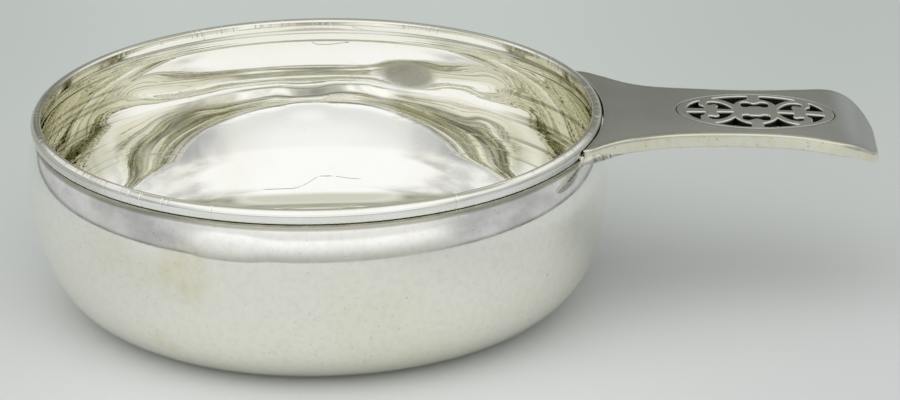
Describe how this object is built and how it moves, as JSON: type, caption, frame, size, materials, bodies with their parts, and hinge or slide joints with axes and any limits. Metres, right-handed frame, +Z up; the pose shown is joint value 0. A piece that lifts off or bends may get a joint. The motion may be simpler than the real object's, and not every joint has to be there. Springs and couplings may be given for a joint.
{
  "type": "porringer",
  "caption": "Shallow round silver bowl with a full belly, an applied rim moulding and one flat side handle with a pierced oval panel, for serving soft food.",
  "frame": {"origin": "centre of the flat underside of the bowl, on the bowl's axis", "axes": "+Z up along the bowl's axis, +X along the handle, away from the bowl"},
  "size_m": [0.1892, 0.1292, 0.0445],
  "materials": {
    "bowl_silver": "polished hand-raised silver with soft ripples and light tarnish",
    "rim_silver": "polished silver with fine wear across the top",
    "handle_silver": "satin worn silver with a bright edge",
    "panel_silver": "satin silver, dark in the openings",
    "solder": "dull grey solder"
  },
  "bodies": {
    "root": {"bowl": "bowl_silver", "rim_moulding": "rim_silver", "rim_solder_seam": "solder", "handle": "handle_silver", "pierced_panel": "panel_silver", "handle_solder_seam": "solder"}
  },
  "joints": []
}
